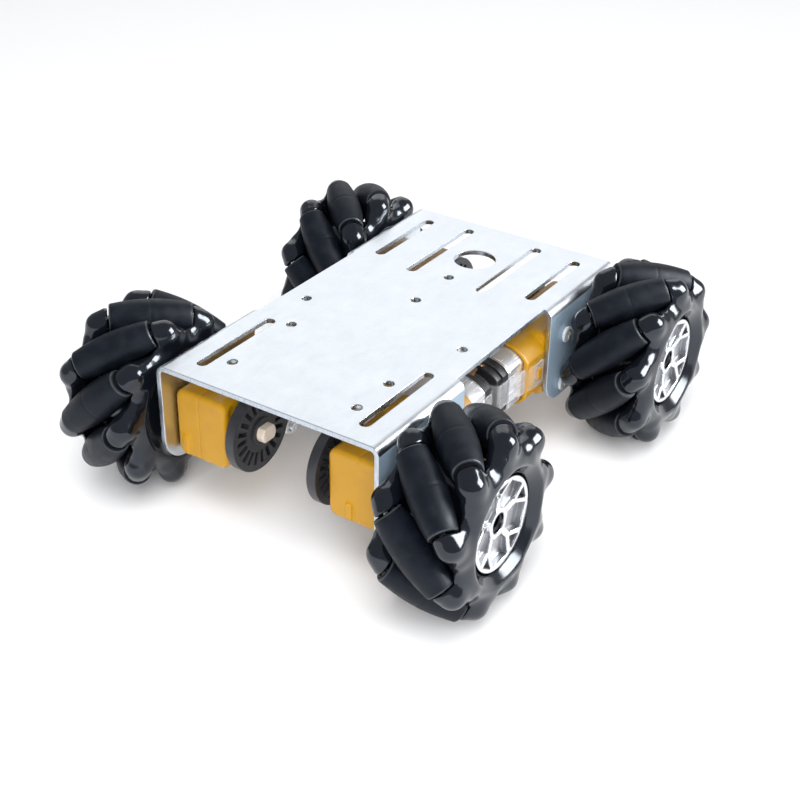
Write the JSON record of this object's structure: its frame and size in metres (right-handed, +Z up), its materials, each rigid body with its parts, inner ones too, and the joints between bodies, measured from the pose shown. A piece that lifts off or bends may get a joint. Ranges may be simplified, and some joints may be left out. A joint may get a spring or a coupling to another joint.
{
  "type": "four wheel robot chassis",
  "caption": "Folded sheet deck on geared motors, each turning a mecanum wheel with tilted barrel rollers, for a small robot that drives in any direction.",
  "frame": {"origin": "on the ground under the middle of the four wheels", "axes": "+X to the robot's right, +Y to its rear, +Z up"},
  "size_m": [0.1428, 0.1666, 0.0588],
  "materials": {
    "deck_metal": "smooth pale sheet with a faint grain",
    "gearbox_plastic": "semi-gloss amber yellow moulding",
    "motor_steel": "bright plated can",
    "disc_plastic": "satin dark grey",
    "hub_plastic": "glossy black",
    "cap_chrome": "bright plated",
    "roller_rubber": "matte charcoal"
  },
  "bodies": {
    "chassis": {"chassis_plate": "deck_metal", "front_left_gearbox": "gearbox_plastic", "front_left_motor": "motor_steel", "front_right_gearbox": "gearbox_plastic", "front_right_motor": "motor_steel", "rear_left_gearbox": "gearbox_plastic", "rear_left_motor": "motor_steel", "rear_right_gearbox": "gearbox_plastic", "rear_right_motor": "motor_steel"},
    "front_left_wheel": {"front_left_wheel_hub": "hub_plastic", "front_left_hub_cap": "cap_chrome", "front_left_axle_and_encoder_disc": "disc_plastic"},
    "front_left_roller_1": {"front_left_roller_1": "roller_rubber"},
    "front_left_roller_2": {"front_left_roller_2": "roller_rubber"},
    "front_left_roller_3": {"front_left_roller_3": "roller_rubber"},
    "front_left_roller_4": {"front_left_roller_4": "roller_rubber"},
    "front_left_roller_5": {"front_left_roller_5": "roller_rubber"},
    "front_left_roller_6": {"front_left_roller_6": "roller_rubber"},
    "front_left_roller_7": {"front_left_roller_7": "roller_rubber"},
    "front_left_roller_8": {"front_left_roller_8": "roller_rubber"},
    "front_left_roller_9": {"front_left_roller_9": "roller_rubber"},
    "front_right_wheel": {"front_right_wheel_hub": "hub_plastic", "front_right_hub_cap": "cap_chrome", "front_right_axle_and_encoder_disc": "disc_plastic"},
    "front_right_roller_1": {"front_right_roller_1": "roller_rubber"},
    "front_right_roller_2": {"front_right_roller_2": "roller_rubber"},
    "front_right_roller_3": {"front_right_roller_3": "roller_rubber"},
    "front_right_roller_4": {"front_right_roller_4": "roller_rubber"},
    "front_right_roller_5": {"front_right_roller_5": "roller_rubber"},
    "front_right_roller_6": {"front_right_roller_6": "roller_rubber"},
    "front_right_roller_7": {"front_right_roller_7": "roller_rubber"},
    "front_right_roller_8": {"front_right_roller_8": "roller_rubber"},
    "front_right_roller_9": {"front_right_roller_9": "roller_rubber"},
    "rear_left_wheel": {"rear_left_wheel_hub": "hub_plastic", "rear_left_hub_cap": "cap_chrome", "rear_left_axle_and_encoder_disc": "disc_plastic"},
    "rear_left_roller_1": {"rear_left_roller_1": "roller_rubber"},
    "rear_left_roller_2": {"rear_left_roller_2": "roller_rubber"},
    "rear_left_roller_3": {"rear_left_roller_3": "roller_rubber"},
    "rear_left_roller_4": {"rear_left_roller_4": "roller_rubber"},
    "rear_left_roller_5": {"rear_left_roller_5": "roller_rubber"},
    "rear_left_roller_6": {"rear_left_roller_6": "roller_rubber"},
    "rear_left_roller_7": {"rear_left_roller_7": "roller_rubber"},
    "rear_left_roller_8": {"rear_left_roller_8": "roller_rubber"},
    "rear_left_roller_9": {"rear_left_roller_9": "roller_rubber"},
    "rear_right_wheel": {"rear_right_wheel_hub": "hub_plastic", "rear_right_hub_cap": "cap_chrome", "rear_right_axle_and_encoder_disc": "disc_plastic"},
    "rear_right_roller_1": {"rear_right_roller_1": "roller_rubber"},
    "rear_right_roller_2": {"rear_right_roller_2": "roller_rubber"},
    "rear_right_roller_3": {"rear_right_roller_3": "roller_rubber"},
    "rear_right_roller_4": {"rear_right_roller_4": "roller_rubber"},
    "rear_right_roller_5": {"rear_right_roller_5": "roller_rubber"},
    "rear_right_roller_6": {"rear_right_roller_6": "roller_rubber"},
    "rear_right_roller_7": {"rear_right_roller_7": "roller_rubber"},
    "rear_right_roller_8": {"rear_right_roller_8": "roller_rubber"},
    "rear_right_roller_9": {"rear_right_roller_9": "roller_rubber"}
  },
  "joints": [
    {"name": "front_left_wheel_spin", "type": "hinge", "parent": "chassis", "child": "front_left_wheel", "pos_m": [-0.056, -0.054, 0.0293], "axis": [1, 0, 0], "continuous": true},
    {"name": "front_left_roller_1_spin", "type": "hinge", "parent": "front_left_wheel", "child": "front_left_roller_1", "pos_m": [-0.056, -0.07681, 0.03554], "axis": [-0.7071, -0.1866, -0.682], "continuous": true},
    {"name": "front_left_roller_2_spin", "type": "hinge", "parent": "front_left_wheel", "child": "front_left_roller_2", "pos_m": [-0.056, -0.06746, 0.04874], "axis": [-0.7071, -0.5813, -0.4025], "continuous": true},
    {"name": "front_left_roller_3_spin", "type": "hinge", "parent": "front_left_wheel", "child": "front_left_roller_3", "pos_m": [-0.056, -0.05181, 0.05285], "axis": [-0.7071, -0.7041, 0.0653], "continuous": true},
    {"name": "front_left_roller_4_spin", "type": "hinge", "parent": "front_left_wheel", "child": "front_left_roller_4", "pos_m": [-0.056, -0.03719, 0.04593], "axis": [-0.7071, -0.4974, 0.5026], "continuous": true},
    {"name": "front_left_roller_5_spin", "type": "hinge", "parent": "front_left_wheel", "child": "front_left_roller_5", "pos_m": [-0.056, -0.03043, 0.03124], "axis": [-0.7071, -0.0579, 0.7047], "continuous": true},
    {"name": "front_left_roller_6_spin", "type": "hinge", "parent": "front_left_wheel", "child": "front_left_roller_6", "pos_m": [-0.056, -0.0347, 0.01563], "axis": [-0.7071, 0.4086, 0.5771], "continuous": true},
    {"name": "front_left_roller_7_spin", "type": "hinge", "parent": "front_left_wheel", "child": "front_left_roller_7", "pos_m": [-0.056, -0.048, 0.00642], "axis": [-0.7071, 0.684, 0.1794], "continuous": true},
    {"name": "front_left_roller_8_spin", "type": "hinge", "parent": "front_left_wheel", "child": "front_left_roller_8", "pos_m": [-0.056, -0.06411, 0.00792], "axis": [-0.7071, 0.6393, -0.3022], "continuous": true},
    {"name": "front_left_roller_9_spin", "type": "hinge", "parent": "front_left_wheel", "child": "front_left_roller_9", "pos_m": [-0.056, -0.07549, 0.01942], "axis": [-0.7071, 0.2955, -0.6424], "continuous": true},
    {"name": "front_right_wheel_spin", "type": "hinge", "parent": "chassis", "child": "front_right_wheel", "pos_m": [0.056, -0.054, 0.0293], "axis": [1, 0, 0], "continuous": true},
    {"name": "front_right_roller_1_spin", "type": "hinge", "parent": "front_right_wheel", "child": "front_right_roller_1", "pos_m": [0.056, -0.03168, 0.03712], "axis": [0.7071, -0.2337, 0.6674], "continuous": true},
    {"name": "front_right_roller_2_spin", "type": "hinge", "parent": "front_right_wheel", "child": "front_right_roller_2", "pos_m": [0.056, -0.04193, 0.04964], "axis": [0.7071, -0.608, 0.361], "continuous": true},
    {"name": "front_right_roller_3_spin", "type": "hinge", "parent": "front_right_wheel", "child": "front_right_roller_3", "pos_m": [0.056, -0.05782, 0.05264], "axis": [0.7071, -0.6978, -0.1143], "continuous": true},
    {"name": "front_right_roller_4_spin", "type": "hinge", "parent": "front_right_wheel", "child": "front_right_roller_4", "pos_m": [0.056, -0.07193, 0.04472], "axis": [0.7071, -0.4611, -0.5361], "continuous": true},
    {"name": "front_right_roller_5_spin", "type": "hinge", "parent": "front_right_wheel", "child": "front_right_roller_5", "pos_m": [0.056, -0.07765, 0.02959], "axis": [0.7071, -0.0086, -0.7071], "continuous": true},
    {"name": "front_right_roller_6_spin", "type": "hinge", "parent": "front_right_wheel", "child": "front_right_roller_6", "pos_m": [0.056, -0.0723, 0.01432], "axis": [0.7071, 0.4479, -0.5472], "continuous": true},
    {"name": "front_right_roller_7_spin", "type": "hinge", "parent": "front_right_wheel", "child": "front_right_roller_7", "pos_m": [0.056, -0.05839, 0.00606], "axis": [0.7071, 0.6948, -0.1313], "continuous": true},
    {"name": "front_right_roller_8_spin", "type": "hinge", "parent": "front_right_wheel", "child": "front_right_roller_8", "pos_m": [0.056, -0.04243, 0.00868], "axis": [0.7071, 0.6166, 0.346], "continuous": true},
    {"name": "front_right_roller_9_spin", "type": "hinge", "parent": "front_right_wheel", "child": "front_right_roller_9", "pos_m": [0.056, -0.03188, 0.02094], "axis": [0.7071, 0.2499, 0.6615], "continuous": true},
    {"name": "rear_left_wheel_spin", "type": "hinge", "parent": "chassis", "child": "rear_left_wheel", "pos_m": [-0.056, 0.054, 0.0293], "axis": [1, 0, 0], "continuous": true},
    {"name": "rear_left_roller_1_spin", "type": "hinge", "parent": "rear_left_wheel", "child": "rear_left_roller_1", "pos_m": [-0.056, 0.03496, 0.04333], "axis": [-0.7071, 0.4196, 0.5691], "continuous": true},
    {"name": "rear_left_roller_2_spin", "type": "hinge", "parent": "rear_left_wheel", "child": "rear_left_roller_2", "pos_m": [-0.056, 0.04844, 0.05229], "axis": [-0.7071, 0.6873, 0.1663], "continuous": true},
    {"name": "rear_left_roller_3_spin", "type": "hinge", "parent": "rear_left_wheel", "child": "rear_left_roller_3", "pos_m": [-0.056, 0.06452, 0.05048], "axis": [-0.7071, 0.6334, -0.3144], "continuous": true},
    {"name": "rear_left_roller_4_spin", "type": "hinge", "parent": "rear_left_wheel", "child": "rear_left_roller_4", "pos_m": [-0.056, 0.07567, 0.03877], "axis": [-0.7071, 0.2831, -0.648], "continuous": true},
    {"name": "rear_left_roller_5_spin", "type": "hinge", "parent": "rear_left_wheel", "child": "rear_left_roller_5", "pos_m": [-0.056, 0.07669, 0.02262], "axis": [-0.7071, -0.1996, -0.6783], "continuous": true},
    {"name": "rear_left_roller_6_spin", "type": "hinge", "parent": "rear_left_wheel", "child": "rear_left_roller_6", "pos_m": [-0.056, 0.06709, 0.0096], "axis": [-0.7071, -0.589, -0.3913], "continuous": true},
    {"name": "rear_left_roller_7_spin", "type": "hinge", "parent": "rear_left_wheel", "child": "rear_left_roller_7", "pos_m": [-0.056, 0.05136, 0.0058], "axis": [-0.7071, -0.7027, 0.0788], "continuous": true},
    {"name": "rear_left_roller_8_spin", "type": "hinge", "parent": "rear_left_wheel", "child": "rear_left_roller_8", "pos_m": [-0.056, 0.03687, 0.01299], "axis": [-0.7071, -0.4876, 0.5121], "continuous": true},
    {"name": "rear_left_roller_9_spin", "type": "hinge", "parent": "rear_left_wheel", "child": "rear_left_roller_9", "pos_m": [-0.056, 0.0304, 0.02781], "axis": [-0.7071, -0.0444, 0.7057], "continuous": true},
    {"name": "rear_right_wheel_spin", "type": "hinge", "parent": "chassis", "child": "rear_right_wheel", "pos_m": [0.056, 0.054, 0.0293], "axis": [1, 0, 0], "continuous": true},
    {"name": "rear_right_roller_1_spin", "type": "hinge", "parent": "rear_right_wheel", "child": "rear_right_roller_1", "pos_m": [0.056, 0.07333, 0.04293], "axis": [0.7071, 0.4076, -0.5778], "continuous": true},
    {"name": "rear_right_roller_2_spin", "type": "hinge", "parent": "rear_right_wheel", "child": "rear_right_roller_2", "pos_m": [0.056, 0.06004, 0.05217], "axis": [0.7071, 0.6836, -0.1806], "continuous": true},
    {"name": "rear_right_roller_3_spin", "type": "hinge", "parent": "rear_right_wheel", "child": "rear_right_roller_3", "pos_m": [0.056, 0.04393, 0.0507], "axis": [0.7071, 0.6398, 0.3011], "continuous": true},
    {"name": "rear_right_roller_4_spin", "type": "hinge", "parent": "rear_right_wheel", "child": "rear_right_roller_4", "pos_m": [0.056, 0.03253, 0.03922], "axis": [0.7071, 0.2966, 0.6419], "continuous": true},
    {"name": "rear_right_roller_5_spin", "type": "hinge", "parent": "rear_right_wheel", "child": "rear_right_roller_5", "pos_m": [0.056, 0.03118, 0.0231], "axis": [0.7071, -0.1854, 0.6824], "continuous": true},
    {"name": "rear_right_roller_6_spin", "type": "hinge", "parent": "rear_right_wheel", "child": "rear_right_roller_6", "pos_m": [0.056, 0.0405, 0.00988], "axis": [0.7071, -0.5806, 0.4036], "continuous": true},
    {"name": "rear_right_roller_7_spin", "type": "hinge", "parent": "rear_right_wheel", "child": "rear_right_roller_7", "pos_m": [0.056, 0.05614, 0.00575], "axis": [0.7071, -0.7042, -0.0641], "continuous": true},
    {"name": "rear_right_roller_8_spin", "type": "hinge", "parent": "rear_right_wheel", "child": "rear_right_roller_8", "pos_m": [0.056, 0.07078, 0.01264], "axis": [0.7071, -0.4983, -0.5017], "continuous": true},
    {"name": "rear_right_roller_9_spin", "type": "hinge", "parent": "rear_right_wheel", "child": "rear_right_roller_9", "pos_m": [0.056, 0.07757, 0.02732], "axis": [0.7071, -0.0592, -0.7046], "continuous": true}
  ]
}
